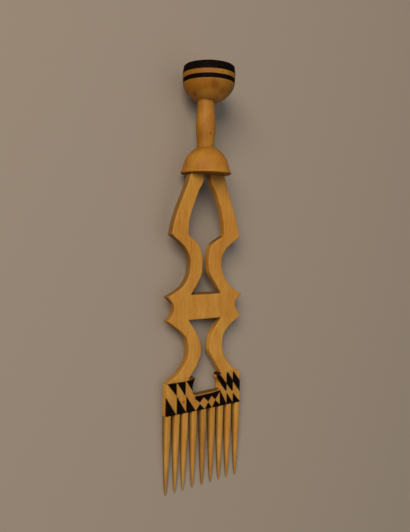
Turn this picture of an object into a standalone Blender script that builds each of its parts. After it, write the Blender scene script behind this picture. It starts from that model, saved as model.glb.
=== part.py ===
"""A hair comb carved from one block of pale wood, with its bands and triangles burnt black.

The comb lies on its back: X runs across it, Y along it towards the knob, Z up out of its face.
The carving is divided where its own forms meet, and each form is a solid of its own.
All lengths are in metres.
"""
import math

import bmesh
import bpy
from mathutils import Vector

# Heights of the carved forms, in order from the teeth's tips to the top of the knob
tooth_length = 0.0519
head_height = 0.0215
lower_limb_height = 0.0387
crossbar_height = 0.0167
upper_limb_height = 0.0387
strut_height = 0.0400
dome_height = 0.0177
neck_length = 0.0298
belly_height = 0.0117
lower_band_height = 0.0030
stripe_height = 0.0028
rim_band_height = 0.0055

# Widths and thicknesses
head_width = 0.0634
plate_thickness = 0.0052
edge_rounding = 0.0006
dome_radius = 0.0160
dome_lip_height = 0.0008
neck_swell_radius = 0.0066
bowl_radius = 0.0175
bowl_waist_inset = 0.0003
bowl_band_inset = 0.0004
bowl_rim_inset = 0.0006
band_depth = 0.0016
round_edge_rounding = 0.0005

# How far the hand-carved round forms stand off the comb's middle line
dome_offset = 0.0005
neck_offset = -0.0004
bowl_offset = 0.0017

# The gap that every piece keeps to its neighbour, and how far a cutter runs past a face
seam = 0.0003
overrun = 0.0010

# The head's notch and the teeth
notch_width = 0.0228
notch_depth = 0.0113
notch_offset = 0.0016
notch_hook = 0.0023
tooth_width = 0.0042
tooth_depth = 0.0050

# The burnt fields are thin skins that lie flush in the head's face
field_depth = 0.0005
field_wall = 0.0003
field_margin = 0.0006

# How finely curves are drawn, and the angle from which an edge shows as sharp
spline_steps = 2
turned_steps = 40
belly_steps = 9
tooth_sides = 12
rounding_steps = 2
sharp_angle = math.radians(35)
# How near points of one curve may lie before they are welded, as a share of the seam
weld_share = 0.1

# Levels along Y, with the comb's middle at zero
overall_length = (
    tooth_length + head_height + lower_limb_height + crossbar_height + upper_limb_height + strut_height
    + dome_height + neck_length + belly_height + lower_band_height + stripe_height + rim_band_height
)
tip_y = -overall_length / 2
foot_y = tip_y + tooth_length
head_top_y = foot_y + head_height
crossbar_foot_y = head_top_y + lower_limb_height
crossbar_top_y = crossbar_foot_y + crossbar_height
knee_y = crossbar_top_y + upper_limb_height
dome_foot_y = knee_y + strut_height
neck_foot_y = dome_foot_y + dome_height
bowl_foot_y = neck_foot_y + neck_length
lower_band_y = bowl_foot_y + belly_height
stripe_y = lower_band_y + lower_band_height
rim_band_y = stripe_y + stripe_height
rim_y = rim_band_y + rim_band_height

# Levels along Z: the knob's bowl is the widest round, and the comb lies on it
axis_z = bowl_radius
plate_back_z = axis_z - plate_thickness / 2
plate_front_z = axis_z + plate_thickness / 2
half_width = head_width / 2

# Radii of the bowl, which is widest at the lower edge of its rim band
waist_radius = bowl_radius - bowl_waist_inset
band_foot_radius = bowl_radius - bowl_band_inset
rim_radius = bowl_radius - bowl_rim_inset
groove_radius = bowl_radius - band_depth

# The notch's walls, and the tips of the hooks at its mouth
notch_left = notch_offset - notch_width / 2
notch_right = notch_offset + notch_width / 2
left_hook = notch_left + notch_hook

# Outlines of the right-hand limbs: (across as a share of the head's half width,
# along as a share of the limb's height from its lower end)
strut_outer_share = [
    (0.901, 0.0), (0.856, 0.17), (0.763, 0.36), (0.650, 0.56), (0.527, 0.77), (0.438, 1.0),
]
strut_inner_share = [
    (0.106, 1.0), (0.128, 0.86), (0.228, 0.70), (0.342, 0.51), (0.418, 0.34), (0.460, 0.18), (0.466, 0.0),
]
upper_outer_share = [
    (0.930, 0.0), (0.772, 0.06), (0.605, 0.165), (0.462, 0.333), (0.408, 0.494),
    (0.430, 0.623), (0.528, 0.773), (0.698, 0.889), (0.901, 1.0),
]
upper_inner_share = [
    (0.466, 1.0), (0.238, 0.884), (0.127, 0.775), (0.077, 0.623), (0.074, 0.491),
    (0.120, 0.341), (0.237, 0.183), (0.398, 0.0),
]
lower_outer_share = [
    (1.0, 0.0), (0.859, 0.066), (0.704, 0.143), (0.559, 0.273), (0.481, 0.383),
    (0.458, 0.510), (0.494, 0.679), (0.610, 0.806), (0.800, 0.921), (0.965, 1.0),
]
lower_inner_share = [
    (0.444, 1.0), (0.272, 0.847), (0.167, 0.699), (0.124, 0.536), (0.127, 0.408),
    (0.233, 0.222), (0.360, 0.094), (0.425, 0.0),
]
# The scalloped end of the crossbar, between its two cusps
scallop_share = [
    (0.994, 0.036), (0.898, 0.168), (0.838, 0.33), (0.818, 0.49),
    (0.838, 0.653), (0.903, 0.79), (0.997, 0.94),
]
# The notch's side below its hook: (inwards as a share of the hook, up as a share of the depth)
notch_side_share = [(1.0, 1.0), (0.45, 0.85), (0.05, 0.6), (0.0, 0.4), (0.15, 0.14), (1.1, 0.0)]

# The neck's radius as a share of its swell, and a tooth's width and depth as shares of their largest,
# each beside its place along the piece
neck_radius_share = [
    (0.0, 0.80), (0.12, 0.87), (0.30, 0.96), (0.47, 1.0), (0.60, 1.0), (0.78, 0.92), (1.0, 0.80),
]
tooth_width_share = [
    (0.0, 0.97), (0.12, 1.0), (0.35, 0.96), (0.60, 0.85),
    (0.75, 0.72), (0.87, 0.57), (0.95, 0.42), (1.0, 0.17),
]
tooth_depth_share = [
    (0.0, 1.0), (0.12, 0.98), (0.35, 0.88), (0.60, 0.73),
    (0.75, 0.60), (0.87, 0.46), (0.95, 0.33), (1.0, 0.14),
]
# How far each tooth was carved off its even place, left to right, and how far its point leans over,
# as shares of the even spacing
tooth_shift_share = (0.0, -0.03, -0.11, -0.11, -0.04, 0.0, -0.01, -0.03, 0.0)
tooth_lean_share = (-0.01, 0.08, -0.05, 0.05, 0.14, 0.07, 0.07, 0.08, 0.05)
# The tooth's section is a square with its sides drawn out round: 2 is an ellipse, more is squarer
section_power = 2.6

# The pattern's columns, left and right from the head's side at 0 to the notch at 1, and in the
# middle from the left hook at 0 to the right wall at 1, with its levels as shares of the head's height
left_column_share = (0.02, 0.34, 0.675, 1.0)
right_column_share = (0.97, 0.65, 0.33, 0.025)
diamond_column_share = (0.01, 0.345, 0.68, 1.01)
field_foot_share = 0.02
field_top_share = 0.975
hook_foot_share = 0.67
left_middle_share = 0.553
# For each right-hand column: the foot of its slanted field at the near side and at the far side, and
# the field's top at the far side. Below it is the peak of the triangle that stands on the foot.
right_upper_shares = ((0.684, 0.465, 0.690), (0.674, 0.433, 0.753), (0.702, 0.330, 0.665))
right_lower_shares = (0.488, 0.353, 0.312)
diamond_top_share = 0.386
diamond_middle_share = 0.212

# The radii of the dome's top and the bowl's foot, wide enough to reach round the neck off centre
dome_head_radius = neck_swell_radius * neck_radius_share[0][1] + dome_offset - neck_offset
bowl_foot_radius = neck_swell_radius * neck_radius_share[-1][1] + bowl_offset - neck_offset


def material(name, colour, roughness):
    """A plain finish in one colour."""
    finish = bpy.data.materials.new(name)
    finish.use_nodes = True
    shader = finish.node_tree.nodes["Principled BSDF"]
    shader.inputs["Base Color"].default_value = (*colour, 1.0)
    shader.inputs["Roughness"].default_value = roughness
    shader.inputs["Metallic"].default_value = 0.0
    return finish


def smooth(points):
    """A smooth curve through the points, with both ends kept."""
    ends = [points[0]] + list(points) + [points[-1]]
    curve = []
    for before, start, end, after in zip(ends, ends[1:], ends[2:], ends[3:]):
        for step in range(spline_steps):
            t = step / spline_steps
            point = []
            for a, b, c, d in zip(before, start, end, after):
                linear = (c - a) * t
                squared = (2 * a - 5 * b + 4 * c - d) * t**2
                cubed = (3 * b - a - 3 * c + d) * t**3
                point.append((2 * b + linear + squared + cubed) / 2)
            curve.append(tuple(point))
    curve.append(tuple(points[-1]))
    return curve


def finish_object(name, bm, finish):
    """Turn a bmesh into a named object with one material."""
    mesh = bpy.data.meshes.new(name)
    bm.to_mesh(mesh)
    bm.free()
    mesh.materials.append(finish)
    mesh.shade_smooth()
    mesh.set_sharp_from_angle(angle=sharp_angle)
    piece = bpy.data.objects.new(name, mesh)
    bpy.context.collection.objects.link(piece)
    return piece


def prism(outline, low, high):
    """A bmesh of a flat outline drawn up from one level to another."""
    bm = bmesh.new()
    floor = bm.faces.new([bm.verts.new((x, y, low)) for x, y in outline])
    raised = bmesh.ops.extrude_face_region(bm, geom=[floor])["geom"]
    lifted = [part for part in raised if isinstance(part, bmesh.types.BMVert)]
    bmesh.ops.translate(bm, verts=lifted, vec=(0, 0, high - low))
    bmesh.ops.recalc_face_normals(bm, faces=bm.faces)
    return bm


def limb_run(shares, side, low_y, high_y):
    """One side of a limb: smooth points between the limb's two seams."""
    low = low_y + seam / 2
    high = high_y - seam / 2
    return [(side * half_width * across, low + (high - low) * along) for across, along in smooth(shares)]


def plate(name, runs, finish):
    """Carve one form from the flat plate.

    Its outline is a list of carved runs. A straight seam joins each run to the next, and only
    the carved edges are rounded over.
    """
    outline = []
    seams = set()
    for run in runs:
        outline += run
        seams.add(len(outline) - 1)
    bm = prism(outline, plate_back_z, plate_front_z)
    bm.verts.ensure_lookup_table()
    count = len(outline)
    seam_ends = {frozenset((outline[i], outline[(i + 1) % count])) for i in seams}
    seam_middles = [[(a + b) / 2 for a, b in zip(*ends)] for ends in seam_ends]
    carved = []
    for edge in bm.edges:
        first, second = edge.verts
        if abs(first.co.z - second.co.z) > plate_thickness / 2:
            continue
        middle = (first.co + second.co) / 2
        if all(math.dist(middle[:2], place) > seam / 2 for place in seam_middles):
            carved.append(edge)
    bmesh.ops.bevel(
        bm, geom=carved, affect="EDGES", offset=edge_rounding,
        segments=rounding_steps, profile=0.5, material=-1,
    )
    return finish_object(name, bm, finish)


def turned(name, profile, centre_x, finish, closed=False):
    """Turn a profile of (radius, y) points once round the knob's axis."""
    bm = bmesh.new()
    verts = [bm.verts.new((centre_x + radius, y, axis_z)) for radius, y in profile]
    pairs = list(zip(verts, verts[1:])) + ([(verts[-1], verts[0])] if closed else [])
    edges = [bm.edges.new(pair) for pair in pairs]
    bmesh.ops.spin(
        bm, geom=verts + edges, cent=(centre_x, 0, axis_z), axis=(0, 1, 0),
        angle=math.tau, steps=turned_steps, use_merge=True,
    )
    bmesh.ops.remove_doubles(bm, verts=bm.verts, dist=seam * weld_share)
    bmesh.ops.recalc_face_normals(bm, faces=bm.faces)
    return finish_object(name, bm, finish)


def quarter_ellipse(start_radius, end_radius, low_y, high_y, steps):
    """Points of (radius, y) on an ellipse that stands upright at the larger radius."""
    small, large = sorted((start_radius, end_radius))
    reach = (high_y - low_y) / math.sqrt(1 - (small / large) ** 2)
    first = math.acos(start_radius / large)
    last = math.acos(end_radius / large)
    points = []
    for step in range(steps + 1):
        angle = first + (last - first) * step / steps
        rise = reach * math.sin(angle)
        y = high_y - rise if end_radius > start_radius else low_y + rise
        points.append((large * math.cos(angle), y))
    return points


def build_bowl(wood, burnt):
    """The knob's bowl, with a shallow groove for each of its two burnt bands."""
    low = bowl_foot_y + seam
    widest_y = (lower_band_y + stripe_y) / 2
    swell = quarter_ellipse(bowl_foot_radius, waist_radius, low, widest_y, belly_steps)
    belly = [(radius, y) for radius, y in swell if y < lower_band_y - lower_band_height / 4]
    edge = round_edge_rounding
    profile = [(0, low)] + belly + [
        (band_foot_radius, lower_band_y),
        (groove_radius, lower_band_y),
        (groove_radius, stripe_y),
        (waist_radius, stripe_y),
        (bowl_radius, rim_band_y),
        (groove_radius, rim_band_y),
        (groove_radius, rim_y - edge),
        (groove_radius - edge, rim_y),
        (0, rim_y),
    ]
    turned("bowl", profile, bowl_offset, wood)
    lower = [
        (groove_radius + seam, lower_band_y + seam),
        (band_foot_radius, lower_band_y + seam),
        (waist_radius, stripe_y - seam),
        (groove_radius + seam, stripe_y - seam),
    ]
    turned("bowl_lower_band", lower, bowl_offset, burnt, closed=True)
    rim = [
        (groove_radius + seam, rim_band_y + seam),
        (bowl_radius, rim_band_y + seam),
        (rim_radius, rim_y - edge),
        (rim_radius - edge, rim_y),
        (groove_radius + seam, rim_y),
    ]
    turned("bowl_rim_band", rim, bowl_offset, burnt, closed=True)


def build_neck(wood):
    """The swelling neck between the bowl and the dome."""
    curve = [
        (neck_swell_radius * share, neck_foot_y + seam + (neck_length - seam) * along)
        for along, share in smooth(neck_radius_share)
    ]
    turned("neck", [(0, curve[0][1])] + curve + [(0, curve[-1][1])], neck_offset, wood)


def build_dome(wood):
    """The dome that caps the two struts, flat beneath."""
    lip = dome_foot_y + dome_lip_height
    crown = quarter_ellipse(dome_radius, dome_head_radius, lip, neck_foot_y, belly_steps)
    edge = round_edge_rounding
    profile = [(0, dome_foot_y), (dome_radius - edge, dome_foot_y), (dome_radius, dome_foot_y + edge)]
    turned("dome", profile + crown + [(0, neck_foot_y)], dome_offset, wood)


def build_limbs(wood):
    """The struts and the bent limbs, left and right alike."""
    limbs = {
        "strut": (strut_outer_share, strut_inner_share, knee_y, dome_foot_y - seam / 2),
        "upper_limb": (upper_outer_share, upper_inner_share, crossbar_top_y, knee_y),
        "lower_limb": (lower_outer_share, lower_inner_share, head_top_y, crossbar_foot_y),
    }
    for name, (outer, inner, low, high) in limbs.items():
        for side, hand in ((-1, "left"), (1, "right")):
            runs = [limb_run(outer, side, low, high), limb_run(inner, side, low, high)]
            plate(f"{name}_{hand}", runs, wood)


def build_crossbar(wood):
    """The crossbar, whose scalloped ends leave a cusp at each corner."""
    low = crossbar_foot_y + seam / 2
    high = crossbar_top_y - seam / 2
    ends = []
    for side in (1, -1):
        scallop = [
            (side * half_width * across, low + (high - low) * along)
            for across, along in smooth(scallop_share)
        ]
        foot = (side * half_width * lower_outer_share[-1][0], low)
        head = (side * half_width * upper_outer_share[0][0], high)
        ends.append([foot] + scallop + [head])
    top = [(side * half_width * upper_inner_share[-1][0], high) for side in (1, -1)]
    base = [(side * half_width * lower_inner_share[0][0], low) for side in (-1, 1)]
    plate("crossbar", [ends[0], top, ends[1][::-1], base], wood)


def notch_edge():
    """The notch's outline from its left hook, round its floor, to its right hook."""
    floor = head_top_y - seam / 2 - notch_depth
    sides = []
    for side, wall in ((-1, notch_left), (1, notch_right)):
        sides.append([
            (wall - side * notch_hook * inwards, floor + notch_depth * up)
            for inwards, up in smooth(notch_side_share)
        ])
    return sides[0] + sides[1][::-1]


def build_head(wood, cutter):
    """The plate that carries the teeth, with its notch and with a pocket for each burnt field."""
    top = head_top_y - seam / 2
    foot = foot_y + seam / 2
    inner = half_width * lower_inner_share[-1][0]
    side = [(half_width, foot), (half_width, top)]
    mirrored = [(-x, y) for x, y in reversed(side)]
    right_lip = [(inner, top)] if notch_edge()[-1][0] < inner else []
    left_lip = [(-inner, top)] if notch_edge()[0][0] > -inner else []
    opening = right_lip + notch_edge()[::-1] + left_lip
    head = plate("head", [side, opening, mirrored], wood)
    cut = head.modifiers.new("field pockets", "BOOLEAN")
    cut.operation = "DIFFERENCE"
    cut.solver = "EXACT"
    cut.object = cutter


def inset_outline(outline, distance):
    """The outline moved inwards by the same distance all round."""
    corners = [Vector(point) for point in outline]
    doubled_area = sum(a.cross(b) for a, b in zip(corners, corners[1:] + corners[:1]))
    turn = math.copysign(1, doubled_area)
    moved = []
    for before, corner, after in zip(corners[-1:] + corners[:-1], corners, corners[1:] + corners[:1]):
        first = turn * (corner - before).normalized().orthogonal()
        second = turn * (after - corner).normalized().orthogonal()
        moved.append(tuple(corner + (first + second) * distance / (1 + first.dot(second))))
    return moved


def level(share):
    """A level on the head, from its foot at 0 to its top at 1."""
    return foot_y + head_height * share


def field_outlines():
    """The outline of each burnt field before its pocket's wall is taken off."""
    foot = level(field_foot_share)
    top = level(field_top_share)
    fields = {}
    columns = [left_hook * share - half_width * (1 - share) for share in left_column_share]
    middle = level(left_middle_share)
    wall = notch_left - field_margin
    for number, (near, far) in enumerate(zip(columns, columns[1:]), start=1):
        upper = [(near, top), (far, top), (far, middle)]
        if far > wall:
            cut = top - (top - middle) * (wall - near) / (far - near)
            hook_foot = head_top_y - notch_depth * (1 - hook_foot_share)
            upper = [(near, top), (far - field_margin, top), (wall, hook_foot), (wall, cut)]
        fields[f"upper_left_field_{number}"] = upper
        fields[f"lower_left_field_{number}"] = [(near, middle), (near, foot), (far, foot)]
    columns = [notch_right * share + half_width * (1 - share) for share in right_column_share]
    for number, (near, far) in enumerate(zip(columns, columns[1:]), start=1):
        drop, reach, shoulder = (level(share) for share in right_upper_shares[number - 1])
        fields[f"upper_right_field_{number}"] = [(near, top), (near, drop), (far, reach), (far, shoulder)]
        peak = level(right_lower_shares[number - 1])
        fields[f"lower_right_field_{number}"] = [(near, peak), (near, foot), (far, foot)]
    columns = [notch_right * share + left_hook * (1 - share) for share in diamond_column_share]
    middle = level(diamond_middle_share)
    crest = level(diamond_top_share)
    strip_top = head_top_y - notch_depth - field_margin
    zigzag = [(columns[0], crest)]
    for number, (near, far) in enumerate(zip(columns, columns[1:]), start=1):
        centre = (near + far) / 2
        zigzag += [(centre, middle), (far, crest)] if far != columns[-1] else [(centre, middle)]
        fields[f"lower_centre_field_{number}"] = [(near, foot), (far, foot), (centre, middle)]
    fields["zigzag_field"] = zigzag + [(columns[-1], strip_top), (columns[0], strip_top)]
    return fields


def build_fields(burnt):
    """The burnt skins, and one cutter that makes all their pockets."""
    pockets = bmesh.new()
    floor = plate_front_z - field_depth - seam
    for name, outline in field_outlines().items():
        pocket = prism(inset_outline(outline, field_wall / 2), floor, plate_front_z + overrun)
        shape = bpy.data.meshes.new(name)
        pocket.to_mesh(shape)
        pocket.free()
        pockets.from_mesh(shape)
        bpy.data.meshes.remove(shape)
        skin = prism(inset_outline(outline, field_wall / 2 + seam), floor + seam, plate_front_z)
        finish_object(name, skin, burnt)
    cutter = finish_object("field_pocket_cutter", pockets, burnt)
    cutter.hide_render = True
    cutter.display_type = "WIRE"
    return cutter


def tooth_section(width, depth):
    """Points of (x, z) round one section of a tooth."""
    points = []
    for step in range(tooth_sides):
        angle = math.tau * (step + 0.5) / tooth_sides
        across, up = math.cos(angle), math.sin(angle)
        points.append((
            width / 2 * math.copysign(abs(across) ** (2 / section_power), across),
            depth / 2 * math.copysign(abs(up) ** (2 / section_power), up),
        ))
    return points


def build_teeth(wood):
    """The teeth, each tapering from the head's foot to a rounded point."""
    outermost = half_width - tooth_width / 2
    spacing = 2 * outermost / (len(tooth_shift_share) - 1)
    length = tooth_length - seam / 2
    widths = smooth(tooth_width_share)
    depths = smooth(tooth_depth_share)
    for number, shift in enumerate(tooth_shift_share):
        centre = -outermost + spacing * (number + shift)
        lean = spacing * tooth_lean_share[number]
        bm = bmesh.new()
        rings = []
        for (along, width), (_, depth) in zip(widths, depths):
            y = foot_y - seam / 2 - length * along
            middle = centre + lean * along
            section = tooth_section(tooth_width * width, tooth_depth * depth)
            verts = [bm.verts.new((middle + x, y, axis_z + z)) for x, z in section]
            rings.append([bm.edges.new(pair) for pair in zip(verts, verts[1:] + verts[:1])])
        for near, far in zip(rings, rings[1:]):
            bmesh.ops.bridge_loops(bm, edges=near + far)
        for ring in (rings[0], rings[-1]):
            bmesh.ops.contextual_create(bm, geom=ring)
        bmesh.ops.recalc_face_normals(bm, faces=bm.faces)
        finish_object(f"tooth_{number + 1}", bm, wood)


for old in list(bpy.data.objects):
    bpy.data.objects.remove(old)

carved_wood = material("carved wood", (0.52, 0.29, 0.09), 0.55)
burnt_wood = material("burnt wood", (0.012, 0.010, 0.008), 0.45)
build_bowl(carved_wood, burnt_wood)
build_neck(carved_wood)
build_dome(carved_wood)
build_limbs(carved_wood)
build_crossbar(carved_wood)
build_head(carved_wood, build_fields(burnt_wood))
build_teeth(carved_wood)
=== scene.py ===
"""A hair comb carved from one block of pale wood, its bands and triangles burnt black.

The comb lies on its back: X runs across it, Y along it towards the knob, Z up out of its face.
Everything is in metres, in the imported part's own frame.
"""

import math

import bmesh
import bpy
from mathutils import Matrix, Vector, noise


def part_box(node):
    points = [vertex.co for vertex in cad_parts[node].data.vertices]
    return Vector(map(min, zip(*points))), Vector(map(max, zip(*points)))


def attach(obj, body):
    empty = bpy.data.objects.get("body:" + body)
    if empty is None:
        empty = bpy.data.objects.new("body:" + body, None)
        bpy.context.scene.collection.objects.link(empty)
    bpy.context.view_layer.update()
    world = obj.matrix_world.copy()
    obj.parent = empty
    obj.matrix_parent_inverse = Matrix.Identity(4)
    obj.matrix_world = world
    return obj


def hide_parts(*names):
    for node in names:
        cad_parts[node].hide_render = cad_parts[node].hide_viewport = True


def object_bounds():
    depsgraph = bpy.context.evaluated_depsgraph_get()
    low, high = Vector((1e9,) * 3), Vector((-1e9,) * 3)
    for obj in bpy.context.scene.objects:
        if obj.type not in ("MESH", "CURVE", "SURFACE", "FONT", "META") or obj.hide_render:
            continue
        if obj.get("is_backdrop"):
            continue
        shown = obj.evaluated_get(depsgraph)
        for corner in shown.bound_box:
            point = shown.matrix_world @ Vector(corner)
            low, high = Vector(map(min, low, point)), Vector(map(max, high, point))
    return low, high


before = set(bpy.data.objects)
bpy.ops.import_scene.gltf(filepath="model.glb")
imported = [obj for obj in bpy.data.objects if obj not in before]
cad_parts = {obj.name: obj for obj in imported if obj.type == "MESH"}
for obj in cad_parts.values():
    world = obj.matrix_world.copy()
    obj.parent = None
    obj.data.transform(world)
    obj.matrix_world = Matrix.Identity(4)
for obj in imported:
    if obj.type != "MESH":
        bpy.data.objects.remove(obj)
cad_low, cad_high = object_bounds()
mm = 0.001

# The carved board is the comb's flat frame, left standing when the block was cut: two struts, two pairs
# of bent limbs, a crossbar with scalloped ends, and the head that carries the teeth. It was sawn and
# whittled to its outline by hand, so left and right differ, and a knife eased its edges.
board_back, board_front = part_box("head")[0].z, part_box("head")[1].z
board_middle = (board_back + board_front) / 2
half_width = 31.65 * mm
foot_y, head_top_y = -87.1 * mm, -65.6 * mm
crossbar_foot_y, crossbar_top_y = -26.9 * mm, -10.2 * mm
strut_top_y = 69.0 * mm
knee_y = {-1: 28.5 * mm, 1: 27.4 * mm}
knee_inner_y = {-1: 28.5 * mm, 1: 28.8 * mm}
notch_wall = {-1: -10.0 * mm, 1: 13.0 * mm}
notch_floor_y = {-1: -76.6 * mm, 1: -76.0 * mm}
notch_hook = 2.3 * mm
edge_rounding, corner_rounding = 0.8 * mm, 0.4 * mm
merge_gap = 0.05 * mm
join_gap, cut_gap = merge_gap / 10, merge_gap / 50
sharp_angle = math.radians(40)

# Outlines of the limbs on the left (-1) and right (1) hand, from low to high: across as a share of
# the half width, and along as a share of each limb's height
lower_outer = {
    -1: [
        (0.99, -0.03), (0.838, 0.062), (0.680, 0.143), (0.542, 0.273), (0.468, 0.383),
        (0.449, 0.510), (0.492, 0.679), (0.628, 0.806), (0.822, 0.921), (0.973, 1.0),
    ],
    1: [
        (1.0, 0.0), (0.861, 0.066), (0.712, 0.143), (0.582, 0.273), (0.500, 0.383),
        (0.470, 0.510), (0.493, 0.679), (0.606, 0.806), (0.795, 0.921), (0.975, 1.0),
    ],
}
scallop = {
    -1: [
        (1.0, 0.036), (0.902, 0.168), (0.845, 0.33), (0.832, 0.49), (0.847, 0.653), (0.905, 0.79),
        (1.0, 0.94),
    ],
    1: [
        (1.0, 0.036), (0.912, 0.168), (0.852, 0.33), (0.818, 0.49), (0.840, 0.653), (0.906, 0.79),
        (1.0, 0.94),
    ],
}
upper_outer = {
    -1: [
        (0.950, 0.0), (0.787, 0.06), (0.593, 0.165), (0.462, 0.333), (0.428, 0.494),
        (0.441, 0.623), (0.542, 0.773), (0.711, 0.889), (0.912, 1.0),
    ],
    1: [
        (0.955, 0.0), (0.797, 0.06), (0.627, 0.165), (0.475, 0.333), (0.419, 0.494),
        (0.425, 0.623), (0.519, 0.773), (0.694, 0.889), (0.912, 1.0),
    ],
}
strut_outer = {
    -1: [(0.901, 0.0), (0.859, 0.17), (0.775, 0.36), (0.666, 0.56), (0.540, 0.77), (0.438, 1.0)],
    1: [(0.912, 0.0), (0.865, 0.17), (0.780, 0.36), (0.676, 0.56), (0.557, 0.77), (0.456, 1.0)],
}
strut_inner = {
    -1: [
        (0.474, 0.0), (0.466, 0.18), (0.416, 0.34), (0.330, 0.51), (0.227, 0.70), (0.106, 0.86),
        (0.082, 1.0),
    ],
    1: [
        (0.478, 0.0), (0.455, 0.18), (0.412, 0.34), (0.336, 0.51), (0.230, 0.70), (0.095, 0.86),
        (0.062, 1.0),
    ],
}
upper_inner = {
    -1: [
        (0.390, 0.0), (0.222, 0.183), (0.119, 0.341), (0.100, 0.491), (0.102, 0.623),
        (0.160, 0.775), (0.262, 0.884), (0.474, 1.0),
    ],
    1: [
        (0.405, 0.0), (0.240, 0.183), (0.098, 0.341), (0.056, 0.491), (0.056, 0.623),
        (0.098, 0.775), (0.205, 0.884), (0.478, 1.0),
    ],
}
lower_inner = {
    -1: [
        (0.422, 0.0), (0.336, 0.094), (0.213, 0.222), (0.117, 0.408), (0.113, 0.536),
        (0.173, 0.699), (0.292, 0.847), (0.440, 1.0),
    ],
    1: [
        (0.438, 0.03), (0.385, 0.094), (0.280, 0.222), (0.135, 0.408), (0.113, 0.536),
        (0.158, 0.699), (0.258, 0.847), (0.420, 1.0),
    ],
}
# The notch's side: inwards as a share of its hook, up as a share of the notch's depth
notch_side = {
    -1: [(1.1, 0.0), (0.15, 0.14), (0.0, 0.4), (0.05, 0.6), (0.45, 0.85), (1.0, 1.0)],
    1: [
        (1.1, 0.0), (0.15, 0.12), (0.0, 0.34), (0.1, 0.52), (0.5, 0.68), (0.9, 0.79), (1.0, 0.9),
        (0.8, 0.98), (0.45, 1.0),
    ],
}
# How far the back edge of a wall that faces up the comb stands beyond its front edge
undercut, floor_undercut = 1.3 * mm, 0.5 * mm

# The burnt fields on the head's face, in millimetres, each drawn past the edge that it runs to
burnt_fields_mm = [
    [(-30.4, -66.4), (-23.6, -66.5), (-23.6, -74.5)],
    [(-22.9, -66.5), (-16.4, -66.5), (-16.4, -75.6)],
    [(-15.5, -66.4), (-6.8, -65.4), (-6.8, -73.5), (-10.2, -73.5)],
    [(-33.0, -73.1), (-23.8, -87.1), (-33.0, -87.1)],
    [(-23.1, -75.6), (-15.6, -87.1), (-23.1, -87.1)],
    [(-15.5, -76.6), (-7.8, -87.1), (-15.5, -87.1)],
    [
        (-8.2, -77.6), (0.0, -77.3), (7.0, -77.1), (12.9, -76.3), (12.8, -77.4), (9.0, -81.8),
        (5.7, -78.9), (2.9, -82.2), (-0.9, -78.8), (-4.3, -81.9), (-8.3, -78.8),
    ],
    [(-7.5, -87.1), (-4.1, -83.3), (-0.3, -87.1)],
    [(0.0, -87.1), (2.9, -83.2), (6.0, -87.1)],
    [(6.3, -87.1), (9.0, -82.6), (13.0, -86.2), (13.0, -87.1)],
    [
        (9.5, -66.9), (11.2, -65.9), (13.0, -65.9), (18.8, -72.4), (18.8, -77.2), (18.1, -77.2),
        (14.1, -72.4), (13.0, -70.6), (11.2, -68.2), (9.5, -68.2),
    ],
    [(18.9, -65.2), (20.0, -65.1), (24.5, -70.9), (24.5, -77.9), (23.8, -78.0), (18.9, -72.6)],
    [(24.6, -65.2), (25.3, -65.3), (33.0, -74.4), (33.0, -81.6), (24.7, -71.8)],
    [(13.1, -76.6), (18.7, -86.0), (18.7, -87.1), (13.1, -87.1)],
    [(19.2, -79.5), (19.8, -80.0), (24.6, -86.3), (24.6, -87.1), (19.2, -87.1)],
    [(24.9, -80.4), (25.6, -80.8), (31.4, -86.8), (31.4, -87.1), (24.9, -87.1)],
]


def smooth(points, steps=4):
    """A smooth run through the points, with both ends kept."""
    ends = [points[0]] + list(points) + [points[-1]]
    run = []
    for a, b, c, d in zip(ends, ends[1:], ends[2:], ends[3:]):
        for step in range(steps):
            t = step / steps
            run.append(tuple(
                (
                    2 * q + (r - p) * t + (2 * p - 5 * q + 4 * r - s) * t**2
                    + (3 * q - p - 3 * r + s) * t**3
                ) / 2
                for p, q, r, s in zip(a, b, c, d)
            ))
    run.append(tuple(points[-1]))
    return run


def limb_run(shares, side, low, high):
    """One carved edge of a limb, between the levels where the limb starts and ends."""
    return [(side * half_width * x, low + (high - low) * y) for x, y in smooth(shares[side])]


def board_half(side):
    """The outline of the board's left or right half, from the middle of the head's foot and round."""
    floor_y = notch_floor_y[side]
    notch = [
        (notch_wall[side] - side * notch_hook * x, floor_y + (head_top_y - floor_y) * y)
        for x, y in smooth(notch_side[side])
    ]
    outline = [(0, foot_y), (side * half_width, foot_y)]
    outline += limb_run(lower_outer, side, head_top_y, crossbar_foot_y)
    outline += limb_run(scallop, side, crossbar_foot_y, crossbar_top_y)
    outline += limb_run(upper_outer, side, crossbar_top_y, knee_y[side])
    outline += limb_run(strut_outer, side, knee_y[side], strut_top_y)
    outline += limb_run(strut_inner, side, knee_inner_y[side], strut_top_y)[::-1]
    outline += limb_run(upper_inner, side, crossbar_top_y, knee_inner_y[side])[::-1]
    outline += [(0, crossbar_top_y), (0, crossbar_foot_y)]
    outline += limb_run(lower_inner, side, head_top_y, crossbar_foot_y)[::-1]
    outline += notch[::-1] + [(0, sum(notch_floor_y.values()) / 2)]
    befores = outline[-1:] + outline
    return [point for before, point in zip(befores, outline) if math.dist(before, point) > merge_gap]


def cut(bm, geometry, point, normal):
    """Cut the given geometry by a plane, leave everything in place, and return the faces."""
    result = bmesh.ops.bisect_plane(
        bm, geom=geometry, dist=cut_gap, plane_co=point, plane_no=normal,
    )
    return [part for part in result["geom"] if isinstance(part, bmesh.types.BMFace)]


def soften(bm, depth, wave):
    """Press the surface in by an uneven hair's breadth, as a knife and sandpaper leave it."""
    bm.normal_update()
    moves = [(vert, -vert.normal * depth * (1 + noise.noise(vert.co / wave)) / 2) for vert in bm.verts]
    for vert, move in moves:
        vert.co += move


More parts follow.
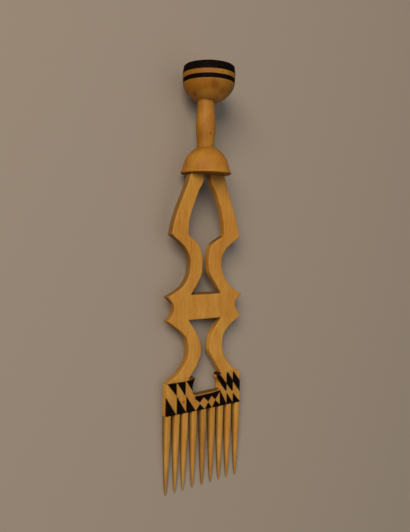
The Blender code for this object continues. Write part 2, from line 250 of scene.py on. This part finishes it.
def offset(corners, distance):
    """A flat outline moved inwards by the same distance all round, or outwards if it is negative."""
    turn = math.copysign(1, sum(a.cross(b) for a, b in zip(corners, corners[1:] + corners[:1])))
    moved = []
    for before, corner, after in zip(corners[-1:] + corners[:-1], corners, corners[1:] + corners[:1]):
        first = turn * (corner - before).normalized().orthogonal()
        second = turn * (after - corner).normalized().orthogonal()
        moved.append(corner + (first + second) * distance / (1 + first.dot(second)))
    return moved


def within(point, corners):
    """Whether a point lies in a flat outline."""
    odd = False
    for a, b in zip(corners, corners[1:] + corners[:1]):
        if (a.y > point.y) != (b.y > point.y):
            crossing_x = a.x + (b.x - a.x) * (point.y - a.y) / (b.y - a.y)
            if point.x < crossing_x:
                odd = not odd
    return odd


def nearest(point, corners):
    """How far a point lies from the nearest side of a flat outline."""
    gaps = []
    for a, b in zip(corners, corners[1:] + corners[:1]):
        along = min(max((point - a).dot(b - a) / (b - a).length_squared, 0), 1)
        gaps.append((point - a - (b - a) * along).length)
    return min(gaps)


def ramp(value, low, high):
    """0 up to the low value and 1 from the high one, with an eased run between."""
    share = min(max((value - low) / (high - low), 0), 1)
    return share * share * (3 - 2 * share)


board = bmesh.new()
for side in (-1, 1):
    board.faces.new([board.verts.new((x, y, board_back)) for x, y in board_half(side)])
bmesh.ops.remove_doubles(board, verts=board.verts, dist=join_gap)
lifted = bmesh.ops.extrude_face_region(board, geom=board.faces[:])["geom"]
lifted_verts = [part for part in lifted if isinstance(part, bmesh.types.BMVert)]
bmesh.ops.translate(board, verts=lifted_verts, vec=(0, 0, board_front - board_back))
bmesh.ops.recalc_face_normals(board, faces=board.faces)

# The walls that face up the comb slope back: the crossbar's top, the notch's floor and its two ledges
bar_reach, ledge_reach = 0.5 * half_width, 0.45 * half_width
floor_low_y, floor_high_y = foot_y + mm, max(notch_floor_y.values()) + merge_gap
ledge_low_y, ledge_high_y = head_top_y - 0.6 * mm, head_top_y + 1.3 * mm
for vert in board.verts:
    x, y, z = vert.co
    on_bar = abs(y - crossbar_top_y) < merge_gap and abs(x) < bar_reach
    on_floor = floor_low_y < y < floor_high_y and notch_wall[-1] < x < notch_wall[1]
    on_ledge = ledge_low_y < y < ledge_high_y and abs(x) < ledge_reach
    if z < board_middle and (on_bar or on_ledge):
        vert.co.y += undercut
    if z < board_middle and on_floor:
        vert.co.y += floor_undercut

upright = [
    edge for edge in board.edges
    if abs(edge.verts[0].co.z - edge.verts[1].co.z) > mm
    and edge.calc_face_angle(0) > sharp_angle
    and foot_y + mm < edge.verts[0].co.y < strut_top_y - mm
]
bmesh.ops.bevel(
    board, geom=upright, affect="EDGES", offset=corner_rounding, segments=2, profile=0.5, material=-1,
)
rims = [
    edge for edge in board.edges
    if abs(edge.verts[0].co.z - edge.verts[1].co.z) < merge_gap
    and edge.calc_face_angle(0) > sharp_angle
    and sum(vert.co.y for vert in edge.verts) / 2 > foot_y + merge_gap
]
bmesh.ops.bevel(
    board, geom=rims, affect="EDGES", offset=edge_rounding, segments=3, profile=0.5, material=-1,
)

# The faces are cut to a fine even grid, so that whittling marks and tones can be laid on them
pitch = 1.6 * mm
for axis, low, high in (
    (Vector((1, 0, 0)), -half_width, half_width),
    (Vector((0, 1, 0)), foot_y, strut_top_y),
    (Vector((0, 0, 1)), board_back, board_front),
):
    steps = round((high - low) / pitch)
    for number in range(1, steps):
        everything = board.verts[:] + board.edges[:] + board.faces[:]
        place = low + (high - low) * number / steps
        cut(board, everything, axis * place, axis)

# The burnt fields: cut along each one's sides, and again inside and outside them for the hollow that
# the hot iron pressed and for the scorched wood beside it
fields = [[Vector(corner) * mm for corner in corners_mm] for corners_mm in burnt_fields_mm]
press_width, press_depth, scorch_width = 0.3 * mm, 0.12 * mm, 0.55 * mm
head_end_y = head_top_y + 2 * mm
# A surface counts as front, as field, as flat or as facing up the comb from these slopes of its normal
front_slope, field_slope, flat_slope, up_comb_slope = 0.1, 0.3, 0.9, 0.3
head_faces = {
    face for face in board.faces
    if face.normal.z > front_slope and face.calc_center_median().y < head_end_y
}
for distance in (0, press_width, -scorch_width):
    for field in fields:
        line = offset(field, distance)
        for a, b in zip(line, line[1:] + line[:1]):
            near = set()
            for face in head_faces:
                centre = face.calc_center_median()
                beside_x = min(a.x, b.x) - pitch < centre.x < max(a.x, b.x) + pitch
                if beside_x and min(a.y, b.y) - pitch < centre.y < max(a.y, b.y) + pitch:
                    near.add(face)
            if near:
                head_faces -= near
                corners = {vert for face in near for vert in face.verts}
                edges = {edge for face in near for edge in face.edges}
                touched = list(corners) + list(edges) + list(near)
                head_faces.update(cut(board, touched, (a.x, a.y, 0), (b.y - a.y, a.x - b.x, 0)))
board.normal_update()
for face in head_faces:
    middle = face.calc_center_median().xy
    if face.normal.z > field_slope and any(within(middle, field) for field in fields):
        face.material_index = 1

# How much the walls are darkened on each hand, below the crossbar and above it, and how much of that is
# left on the head: partly browner sawn wood, partly painted shade, most on the left hand and above the
# crossbar. A surface counts as wall up to one slope of its normal, and as face from the other.
wall_darkening_share = {-1: (0.50, 0.85), 1: (0.0, 0.35)}
head_share, head_blend_low_y, head_blend_high_y = 0.2, head_top_y - 2 * mm, head_top_y + 4 * mm
wall_slope, face_slope = 0.6, 0.97
# Walls that face up the comb near its middle get the full painted shade, between these slopes
up_comb_shade_low_slope, up_comb_shade_high_slope = 0.4, 0.8
# The two hands' tones blend over this distance from the middle
hands_meet = 1.5 * mm
# Near the burnt fields the wood is faintly browned, by this share and as far as this from them
faint_share, faint_width = 0.16, 4 * mm
# Where the right ledge lies, across, and how far up and down from the head's top
right_ledge_low_x, right_ledge_high_x, right_ledge_height = 9 * mm, 14.5 * mm, 1.6 * mm
brown_and_painted_shade = board.verts.layers.float.new("brown_and_painted_shade")
scorch_and_ledge_shade = board.verts.layers.float.new("scorch_and_ledge_shade")
for vert in board.verts:
    wall = 1 - ramp(abs(vert.normal.z), wall_slope, face_slope)
    rightness = ramp(vert.co.x, -hands_meet, hands_meet)
    below, above = (
        left + (right - left) * rightness for left, right in zip(wall_darkening_share[-1], wall_darkening_share[1])
    )
    share = below + (above - below) * ramp(vert.co.y, crossbar_foot_y, crossbar_top_y)
    share *= head_share + (1 - head_share) * ramp(vert.co.y, head_blend_low_y, head_blend_high_y)
    if abs(vert.co.x) < ledge_reach:
        share = max(share, ramp(vert.normal.y, up_comb_shade_low_slope, up_comb_shade_high_slope))
    # The walls are darkened here: partly browner sawn wood, partly painted shade
    vert[brown_and_painted_shade] = wall * share
    if vert.co.y < head_end_y and (vert.normal.z > front_slope or vert.normal.y > up_comb_slope):
        gap = min(0 if within(vert.co.xy, field) else nearest(vert.co.xy, field) for field in fields)
        faint = faint_share * (1 - ramp(gap, mm, faint_width))
        vert[scorch_and_ledge_shade] = max(1 - ramp(gap, 0, scorch_width), faint)
    # Painted shade: the right ledge, a corner that lies in shadow, is given the full dark scorch tint
    on_right_ledge = (
        right_ledge_low_x < vert.co.x < right_ledge_high_x
        and abs(vert.co.y - head_top_y) < right_ledge_height
    )
    if on_right_ledge and vert.normal.y > up_comb_slope:
        vert[scorch_and_ledge_shade] = 1.0
press_edge = 0.9 * press_width
pressed = [
    vert for vert in board.verts
    if vert.normal.z > flat_slope and vert.co.y < head_top_y
    and any(within(vert.co.xy, field) and nearest(vert.co.xy, field) > press_edge for field in fields)
]
for vert in pressed:
    vert.co.z -= press_depth
soften(board, depth=0.16 * mm, wave=7 * mm)


def colour(hex_value):
    """An sRGB hex value as the linear colour that a shader takes."""
    parts = [int(hex_value[i:i + 2], 16) / 255 for i in (1, 3, 5)]
    linear = [part / 12.92 if part <= 0.04045 else ((part + 0.055) / 1.055) ** 2.4 for part in parts]
    return linear + [1.0]


def add(finish, kind, inputs=None, stops=None, **settings):
    """Add a node to a finish. Each input is a plain value, or another node's output to link from."""
    node = finish.node_tree.nodes.new(kind)
    for key, value in settings.items():
        setattr(node, key, value)
    for key, value in (inputs or {}).items():
        if isinstance(value, bpy.types.NodeSocket):
            finish.node_tree.links.new(value, node.inputs[key])
        else:
            node.inputs[key].default_value = value
    # A new colour ramp comes with two marks, and the rest are added
    for number, (place, shade) in enumerate(stops or []):
        marks = node.color_ramp.elements
        mark = marks[number] if number < 2 else marks.new(place)
        mark.position, mark.color = place, shade
    return node


def darkened(finish, tone, amount, tint):
    """A tone multiplied by a tint where the amount is 1, and left alone where it is 0."""
    mixed = add(
        finish, "ShaderNodeMix", {"Factor": amount, "A": tone, "B": colour(tint)},
        data_type="RGBA", blend_type="MULTIPLY",
    )
    return mixed.outputs["Result"]


# Pale close-grained hardwood, whittled and handled until it has a dull satin sheen. To the eye it is
# honey-coloured, with faint darker streaks that run along the comb and a soft mottle across it. Its
# walls are darker than its face, partly browner sawn wood and partly painted shade, the teeth have
# painted shade on their sides and between them, and the knob is warmer where handled, with painted shade
# on its left side and where it faces along the comb, and painted light under the bowl's belly.
carved_wood = bpy.data.materials.new("carved_pale_hardwood")
carved_wood.use_nodes = True
shader = carved_wood.node_tree.nodes["Principled BSDF"]
place = add(carved_wood, "ShaderNodeTexCoord").outputs["Object"]
streak_width, mottle_width = 1.5 * mm, 9 * mm
# How much slower the pattern changes along the comb than across it
streak_stretch, mottle_stretch = 0.06, 0.45
# Real fibres are finer than a tenth of a millimetre. They are drawn coarser, so that they show.
fibre_width, fibre_depth = 0.45 * mm, 0.03 * mm
along_streak = add(carved_wood, "ShaderNodeMapping", {
    "Vector": place, "Scale": (1, streak_stretch, 1),
}).outputs["Vector"]
streaks = add(carved_wood, "ShaderNodeTexNoise", {
    "Vector": along_streak, "Scale": 1 / streak_width, "Detail": 3.0, "Roughness": 0.6, "Distortion": 0.4,
}).outputs["Fac"]
fibres = add(carved_wood, "ShaderNodeTexNoise", {
    "Vector": along_streak, "Scale": 1 / fibre_width, "Detail": 2.0, "Roughness": 0.7,
}).outputs["Fac"]
along_mottle = add(carved_wood, "ShaderNodeMapping", {
    "Vector": place, "Scale": (1, mottle_stretch, 1),
}).outputs["Vector"]
mottle = add(carved_wood, "ShaderNodeTexNoise", {
    "Vector": along_mottle, "Scale": 1 / mottle_width, "Detail": 2.0, "Roughness": 0.5,
}).outputs["Fac"]
tone = add(carved_wood, "ShaderNodeValToRGB", {"Fac": streaks}, [
    (0.30, colour("#B07F33")), (0.72, colour("#BC8B3E")), (0.50, colour("#B68539")),
]).outputs["Color"]
# The block was paler at the end where the teeth were cut
along_comb = add(carved_wood, "ShaderNodeSeparateXYZ", {"Vector": place}).outputs["Y"]
tone = darkened(carved_wood, tone, add(carved_wood, "ShaderNodeMapRange", {
    "Value": along_comb, "From Min": -60 * mm, "From Max": 20 * mm,
}).outputs["Result"], "#FCF7EA")
tone = darkened(carved_wood, tone, add(carved_wood, "ShaderNodeMapRange", {
    "Value": mottle, "From Min": 0.68, "From Max": 0.35,
}).outputs["Result"], "#F3E4D2")
tone = darkened(carved_wood, tone, add(carved_wood, "ShaderNodeMapRange", {
    "Value": fibres, "From Min": 0.55, "From Max": 0.30,
}).outputs["Result"], "#EEDFCB")
# Three darkenings: browner sawn wood with painted shade on walls and teeth, in a cool tint; the knob's
# handled tone with painted shade and light; and scorch beside the burnt fields, with painted shade on the
# right ledge
for layer, tint in (("brown_and_painted_shade", "#9CA2C0"), ("handled", "#C6BC84"), ("scorch_and_ledge_shade", "#64492F")):
    amount = add(carved_wood, "ShaderNodeAttribute", attribute_name=layer).outputs["Fac"]
    tone = darkened(carved_wood, tone, amount, tint)
# A small knot in the head, a brown fleck in the neck, three smudges on the belly and a nick above
# them: each one's centre, its radius and its tint, which is full in its core and fades outwards
core_share = 0.3
for centre_mm, radius_mm, tint in (
    ((-17.9, -79.6, 20.1), 1.4, "#D8A878"),
    ((-1.6, 94.5, 23.7), 0.9, "#C8925C"),
    ((-5.2, 124.2, 32.0), 4.2, "#DFCBAA"),
    ((1.8, 120.8, 31.4), 3.4, "#E2CFB0"),
    ((-10.7, 119.2, 18.1), 3.0, "#D8C09C"),
    ((-1.1, 131.8, 34.6), 0.6, "#8A6A48"),
):
    reach = add(
        carved_wood, "ShaderNodeVectorMath", {0: place, 1: Vector(centre_mm) * mm}, operation="DISTANCE",
    ).outputs["Value"]
    amount = add(carved_wood, "ShaderNodeMapRange", {
        "Value": reach, "From Min": radius_mm * mm, "From Max": core_share * radius_mm * mm,
    }).outputs["Result"]
    tone = darkened(carved_wood, tone, amount, tint)
carved_wood.node_tree.links.new(tone, shader.inputs["Base Color"])
bump = add(carved_wood, "ShaderNodeBump", {"Height": fibres, "Strength": 0.6, "Distance": fibre_depth})
carved_wood.node_tree.links.new(bump.outputs["Normal"], shader.inputs["Normal"])
shader.inputs["Roughness"].default_value = 0.55
shader.inputs["IOR"].default_value = 1.5
shader.inputs["Specular IOR Level"].default_value = 0.14

# The same wood charred with a hot iron. It is brownish black and dull, and a little uneven where the
# iron was pressed in turn.
burnt_wood = bpy.data.materials.new("burnt_pale_hardwood")
burnt_wood.use_nodes = True
shader = burnt_wood.node_tree.nodes["Principled BSDF"]
place = add(burnt_wood, "ShaderNodeTexCoord").outputs["Object"]
char_width, char_depth = 1.2 * mm, 0.05 * mm
char = add(burnt_wood, "ShaderNodeTexNoise", {
    "Vector": place, "Scale": 1 / char_width, "Detail": 3.0, "Roughness": 0.6,
}).outputs["Fac"]
tone = add(burnt_wood, "ShaderNodeValToRGB", {"Fac": char}, [
    (0.35, colour("#060403")), (0.75, colour("#140D07")),
]).outputs["Color"]
burnt_wood.node_tree.links.new(tone, shader.inputs["Base Color"])
bump = add(burnt_wood, "ShaderNodeBump", {"Height": char, "Strength": 0.5, "Distance": char_depth})
burnt_wood.node_tree.links.new(bump.outputs["Normal"], shader.inputs["Normal"])
shader.inputs["Roughness"].default_value = 0.62
shader.inputs["Specular IOR Level"].default_value = 0.02


def finish_piece(name, bm, nodes):
    """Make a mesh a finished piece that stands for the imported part's nodes."""
    mesh = bpy.data.meshes.new(name)
    bm.to_mesh(mesh)
    bm.free()
    mesh.materials.append(carved_wood)
    mesh.materials.append(burnt_wood)
    mesh.shade_smooth()
    mesh.set_sharp_from_angle(angle=sharp_angle)
    piece = bpy.data.objects.new(name, mesh)
    bpy.context.scene.collection.objects.link(piece)
    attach(piece, "root")
    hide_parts(*nodes)
    return piece


fields_named = [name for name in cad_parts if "_field" in name]
limbs = [f"{limb}_{hand}" for limb in ("strut", "upper_limb", "lower_limb") for hand in ("left", "right")]
finish_piece("carved_board", board, limbs + ["crossbar", "head"] + fields_named)

# The nine teeth are cut in the foot of the board, flush with its face. Each is whittled from a rounded
# square at its root to a slim round point, and no two are quite alike.
tooth_width, tooth_depth = 4.2 * mm, 4.9 * mm
tip_y = cad_low.y
root_depth = 0.05 * mm
# How wide and deep a tooth is, as a share of its root, at each share of its length
tooth_width_share = [
    (0, 0.99), (0.06, 1.0), (0.35, 0.96), (0.60, 0.85), (0.75, 0.72), (0.87, 0.54), (0.95, 0.36),
    (1, 0.10),
]
tooth_depth_share = [
    (0, 1.0), (0.12, 0.98), (0.35, 0.88), (0.60, 0.73), (0.75, 0.60), (0.87, 0.44), (0.95, 0.28),
    (1, 0.08),
]
tooth_sides = 32
# The power of the section's curve, which would be 2 on a circle: more at the root, less from half-way
root_power, point_power = 5.8, 2.4
# How much painted shade a tooth has on its sides and deep between the teeth, and how brown it is at its
# point
side_shade_share, deep_shade_share, point_share = 0.15, 0.75, 0.25
# From where to where these come in: slimming and the point's brown along the tooth, the sides' painted
# shade across it, and the painted shade deep between the teeth both across it and down from its face
slim_run, point_run, side_shade_run = (0.3, 0.9), (0.5, 1), (0.5, 0.95)
deep_shade_across_run, deep_shade_down_run = (0.3, 0.75), (-0.5, 0.3)
# For each tooth: the middle of its root, how far its point leans over, how much slimmer it is below,
# and how brown
teeth_mm = (
    (-29.4, -0.4, 0.86, 0.22), (-22.3, -0.2, 0.90, 0.10), (-15.5, -0.5, 0.93, 0.0),
    (-8.2, 0.1, 0.94, 0.10), (-0.3, 0.3, 0.95, 0.36), (7.35, 0.2, 1.0, 0.15),
    (14.6, 0.2, 1.0, 0.10), (21.8, 0.0, 0.95, 0.0), (29.4, 0.2, 0.96, 0.10),
)
root_y = foot_y + root_depth
for number, (centre_mm, lean_mm, slimming, brownness) in enumerate(teeth_mm, start=1):
    bm = bmesh.new()
    brown_and_painted_shade = bm.verts.layers.float.new("brown_and_painted_shade")
    previous = None
    for (along, width), (_, depth) in zip(smooth(tooth_width_share), smooth(tooth_depth_share)):
        squareness = 2 / (point_power + (root_power - point_power) * max(0, 1 - along * 2))
        slim = 1 - (1 - slimming) * ramp(along, *slim_run)
        half_tooth, half_depth = tooth_width * width * slim / 2, tooth_depth * depth / 2
        tone = brownness + point_share * ramp(along, *point_run)
        middle_x, y = (centre_mm + lean_mm * along) * mm, root_y + (tip_y - root_y) * along
        ring = bmesh.ops.create_circle(bm, segments=tooth_sides, radius=1)["verts"]
        for vert in ring:
            across = math.copysign(abs(vert.co.x) ** squareness, vert.co.x)
            up = math.copysign(abs(vert.co.y) ** squareness, vert.co.y)
            # Painted shade on the tooth's sides and deep between the teeth
            side = side_shade_share * ramp(abs(vert.co.x), *side_shade_run)
            deep_shade = deep_shade_share * ramp(-up, *deep_shade_down_run) * ramp(abs(vert.co.x), *deep_shade_across_run)
            vert[brown_and_painted_shade] = min(1, tone + side + deep_shade)
            vert.co = (middle_x + across * half_tooth, y, board_middle + up * half_depth)
        loop = list({edge for vert in ring for edge in vert.link_edges})
        if previous:
            bmesh.ops.bridge_loops(bm, edges=previous + loop)
        else:
            bmesh.ops.contextual_create(bm, geom=loop)
        previous = loop
    bmesh.ops.contextual_create(bm, geom=previous)
    bmesh.ops.recalc_face_normals(bm, faces=bm.faces)
    finish_piece(f"tooth_{number}_carved", bm, [f"tooth_{number}"])

# The knob is round, whittled from the same block: a dome with a flared lip that caps the struts, a neck
# that swells in the middle, and a bowl with two burnt bands and a band of bare wood between them.
knob_z = (cad_low.z + cad_high.z) / 2
turned_steps = 96


def quarter(start_radius, end_radius, low, high, steps=16):
    """Points of (radius, y) on an ellipse that stands upright at the larger radius."""
    small, large = sorted((start_radius, end_radius))
    reach = (high - low) / math.sqrt(1 - (small / large) ** 2)
    first, last = math.acos(start_radius / large), math.acos(end_radius / large)
    points = []
    for step in range(steps + 1):
        angle = first + (last - first) * step / steps
        rise = reach * math.sin(angle)
        y = high - rise if end_radius > start_radius else low + rise
        points.append((large * math.cos(angle), y))
    return points


def turned(profile, centre_x):
    """A closed round form, turned from its profile of (radius, y)."""
    bm = bmesh.new()
    verts = [bm.verts.new((centre_x + radius, y, knob_z)) for radius, y in profile]
    edges = [bm.edges.new(pair) for pair in zip(verts, verts[1:])]
    bmesh.ops.spin(
        bm, geom=verts + edges, cent=(centre_x, 0, knob_z), axis=(0, 1, 0),
        angle=math.tau, steps=turned_steps, use_merge=True,
    )
    bmesh.ops.remove_doubles(bm, verts=bm.verts, dist=join_gap)
    bmesh.ops.recalc_face_normals(bm, faces=bm.faces)
    return bm


def mark_handling_and_shade(bm, base, facing_along_share):
    """Mark a round form's warm handled tone, with painted shade on its left side and, where it faces
    along the comb, painted shade for a positive share and painted light for a negative one.
    """
    left_shade_share, patch_share, patch_width = 0.3, 0.3, 8 * mm
    facing_along_run = (0.45, 0.95)
    layer = bm.verts.layers.float.new("handled")
    bm.normal_update()
    for vert in bm.verts:
        facing_along, left = ramp(abs(vert.normal.y), *facing_along_run), max(0, -vert.normal.x)
        patch = noise.noise(vert.co / patch_width)
        # Painted shade on the left side and, by its share, where the form faces along the comb; the base
        # and the patches are its handled tone
        mark = base + facing_along_share * facing_along + left_shade_share * left + patch_share * patch
        vert[layer] = min(1, max(0, mark))


dome_foot_y, neck_foot_y, bowl_foot_y = 68.5 * mm, 86.2 * mm, 116.0 * mm
dome_radius, neck_radius = 16.0 * mm, 6.75 * mm
dome_x, neck_x, bowl_x = 0.1 * mm, -0.6 * mm, 1.7 * mm
# The dome's lip, in millimetres out from its radius and up from its foot
lip_mm = ((0.2, 0.0), (0.6, 0.2), (0.85, 0.7), (0.85, 1.3), (0.55, 1.9), (0.1, 2.6), (-0.2, 3.2))
# The crown above the lip is an arc that starts a little higher and slimmer than the foot
crown_radius, crown_top_radius = dome_radius - 0.4 * mm, 5.7 * mm
arc_foot_y, crown_foot_y = dome_foot_y + 1.8 * mm, dome_foot_y + 3.8 * mm
crown = [
    (radius, y) for radius, y in quarter(crown_radius, crown_top_radius, arc_foot_y, neck_foot_y)
    if y > crown_foot_y
]
dome = turned(
    [(0, dome_foot_y)] + [(dome_radius + out * mm, dome_foot_y + up * mm) for out, up in lip_mm]
    + crown + [(0, neck_foot_y)],
    dome_x,
)
soften(dome, depth=0.25 * mm, wave=9 * mm)
# Painted shade on the dome's left side and on its top and lip, which face along the comb
mark_handling_and_shade(dome, base=0.35, facing_along_share=0.6)
finish_piece("dome_carved", dome, ["dome"])

# The neck was whittled from both ends, so a ridge runs round it where the cuts meet
neck_share = [
    (0.0, 0.80), (0.12, 0.85), (0.25, 0.92), (0.36, 0.965), (0.45, 0.99), (0.52, 0.985), (0.56, 0.965),
    (0.67, 0.925), (0.76, 0.87), (0.86, 0.84), (1.0, 0.82),
]
neck_overlap = 0.6 * mm
neck_low, neck_high = neck_foot_y - neck_overlap, bowl_foot_y + neck_overlap
curve = [
    (neck_radius * share, neck_low + (neck_high - neck_low) * along)
    for along, share in smooth(neck_share, steps=6)
]
neck = turned([(0, neck_low)] + curve + [(0, neck_high)], neck_x)
soften(neck, depth=0.25 * mm, wave=6 * mm)
# Painted shade on the neck's left side and its ends
mark_handling_and_shade(neck, base=0.6, facing_along_share=0.3)
finish_piece("neck_carved", neck, ["neck"])

lower_band_y, stripe_y, rim_band_y, rim_y = 127.7 * mm, 130.7 * mm, 133.5 * mm, 139.0 * mm
band_radius, waist_radius, bowl_radius, rim_radius = 17.1 * mm, 17.2 * mm, 17.5 * mm, 16.9 * mm
belly_foot_y, belly_foot_radius, widest_y = bowl_foot_y + 0.3 * mm, 7.0 * mm, 129.2 * mm
rim_rounding = 0.6 * mm
belly_end_y = lower_band_y - 0.5 * mm
belly = [
    (radius, y)
    for radius, y in quarter(belly_foot_radius, waist_radius, belly_foot_y, widest_y, steps=20)
    if y < belly_end_y
]
bowl = turned(
    [(0, belly_foot_y)] + belly
    + [
        (band_radius, lower_band_y), (waist_radius, stripe_y), (bowl_radius, rim_band_y),
        (rim_radius, rim_y - rim_rounding), (rim_radius - rim_rounding, rim_y), (0, rim_y),
    ],
    bowl_x,
)
# The belly stands a little to the left of the rim
belly_shift, belly_run = 0.4 * mm, 8 * mm
for vert in bowl.verts:
    vert.co.x -= belly_shift * ramp(lower_band_y - vert.co.y, 0, belly_run)
for face in bowl.faces:
    y = face.calc_center_median().y
    if lower_band_y < y < stripe_y or rim_band_y < y < rim_y - join_gap:
        face.material_index = 1
soften(bowl, depth=0.2 * mm, wave=9 * mm)
# Painted light under the bowl's belly, which faces along the comb, and painted shade on its left side
mark_handling_and_shade(bowl, base=0.9, facing_along_share=-0.9)
finish_piece("bowl_carved", bowl, ["bowl", "bowl_lower_band", "bowl_rim_band"])

# The table is plain and pale. The comb lies on it on the lip of its dome and the points of its teeth,
# so the table is drawn leaning to the comb's own frame. Two broad soft lamps and an even room light it.
# The lip's widest ring is what touches it
lip_out_mm, lip_up_mm = lip_mm[2]
lip_y, lip_radius = dome_foot_y + lip_up_mm * mm, dome_radius + lip_out_mm * mm
# Near their points the teeth touch the table this far below the comb's middle
touch_depth = 0.75 * mm
lean = math.atan((lip_radius - touch_depth) / (lip_y - tip_y))
table_half = 3
table = bmesh.new()
bmesh.ops.create_grid(table, x_segments=1, y_segments=1, size=table_half)
bmesh.ops.rotate(table, verts=table.verts, matrix=Matrix.Rotation(-lean, 3, "X"))
bmesh.ops.translate(table, verts=table.verts, vec=(0, lip_y, knob_z - lip_radius))
table_mesh = bpy.data.meshes.new("table")
table.to_mesh(table_mesh)
table.free()
table_top = bpy.data.objects.new("table", table_mesh)
bpy.context.scene.collection.objects.link(table_top)
table_top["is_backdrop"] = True
# Matt pale paper, plain and without gloss
paper = bpy.data.materials.new("matt_pale_paper")
paper.use_nodes = True
shader = paper.node_tree.nodes["Principled BSDF"]
shader.inputs["Base Color"].default_value = colour("#908273")
shader.inputs["Roughness"].default_value = 0.9
shader.inputs["Specular IOR Level"].default_value = 0.1
table_mesh.materials.append(paper)

room_tint, room_level = (0.93, 1.0, 1.12, 1.0), 0.17
world = bpy.data.worlds.new("room")
world.use_nodes = True
world.node_tree.nodes["Background"].inputs["Color"].default_value = room_tint
world.node_tree.nodes["Background"].inputs["Strength"].default_value = room_level
bpy.context.scene.world = world
aim = Vector((0.0018, 0.0078, 0.0164))
lamp_distance = 2.5
# For each lamp: the way to it from the comb, how wide it is, the share of full white to which it alone
# would light the table, and its tint
for name, way, size, share, tint in (
    ("key_lamp", (-0.66, 0.42, 0.66), 1.6, 0.68, (1.0, 0.93, 0.84)),
    ("top_lamp", (0.10, 0.0, 0.95), 3.0, 0.16, (0.95, 1.0, 1.05)),
):
    way = Vector(way).normalized()
    lamp = bpy.data.lights.new(name, "AREA")
    lamp.shape, lamp.size, lamp.color = "DISK", size, tint
    lamp.energy = share * math.pi**2 * (lamp_distance**2 + size**2 / 4) / way.z
    holder = bpy.data.objects.new(name, lamp)
    bpy.context.scene.collection.objects.link(holder)
    holder.location = aim + way * lamp_distance
    holder.rotation_euler = way.to_track_quat("Z", "Y").to_euler()

# The camera stands where the photograph was taken from, which was worked out from the comb's outline
image_height = 532
half_pixel = 0.5 / image_height
camera_data = bpy.data.cameras.new("camera")
camera_data.lens, camera_data.sensor_width = 40.6, 36
camera_data.shift_x, camera_data.shift_y = -half_pixel, half_pixel
camera_data.clip_start, camera_data.clip_end = 0.01, 20
camera = bpy.data.objects.new("camera", camera_data)
bpy.context.scene.collection.objects.link(camera)
eye = Vector((-0.2501, 0.0233, 0.3267))
back, up = Vector((-0.6298, 0.0388, 0.7758)).normalized(), Vector((0.0137, 0.9992, -0.0389))
across = up.cross(back).normalized()
turn = Matrix((across, back.cross(across), back)).transposed()
camera.matrix_world = Matrix.Translation(eye) @ turn.to_4x4()
bpy.context.scene.camera = camera
bpy.context.scene.view_settings.view_transform = "Standard"

low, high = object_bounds()
